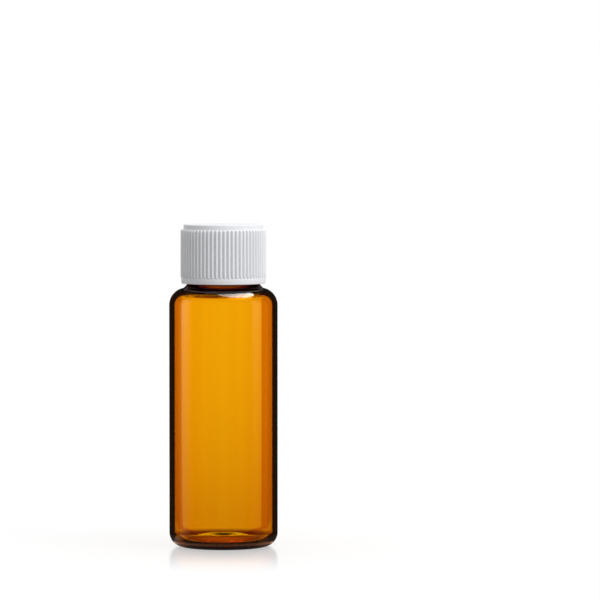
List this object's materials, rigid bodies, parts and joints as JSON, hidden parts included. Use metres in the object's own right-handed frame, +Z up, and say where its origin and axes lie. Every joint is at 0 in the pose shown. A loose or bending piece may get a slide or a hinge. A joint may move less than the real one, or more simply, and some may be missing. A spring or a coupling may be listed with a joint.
{
  "type": "glass sample vial",
  "caption": "Amber glass sample vial with a rounded shoulder and screw neck, closed by a white ribbed plastic screw cap with a loose sealing liner.",
  "frame": {"origin": "centre of the standing ring under the base, on the surface that the vial stands on", "axes": "+Z up along the vial's axis, towards the cap; +X and +Y are equal, because the vial is round"},
  "size_m": [0.022, 0.022, 0.0655],
  "materials": {
    "amber_glass": "clear, glossy",
    "liner_foam": "smooth closed-cell foam",
    "white_plastic": "satin"
  },
  "bodies": {
    "vial": {"glass_vial": "amber_glass"},
    "liner": {"cap_liner": "liner_foam"},
    "cap": {"screw_cap": "white_plastic"}
  },
  "joints": [
    {"name": "cap_lift", "type": "slide", "parent": "vial", "child": "liner", "axis": [0, 0, 1], "range_m": [0, 0.00476]},
    {"name": "cap_turn", "type": "hinge", "parent": "liner", "child": "cap", "pos_m": [0, 0, 0.0645], "axis": [0, 0, 1], "range_deg": [0, 810]}
  ],
  "couplings": [
    {"joint": "cap_turn", "follows": "cap_lift", "rad_per_m": 2968}
  ]
}
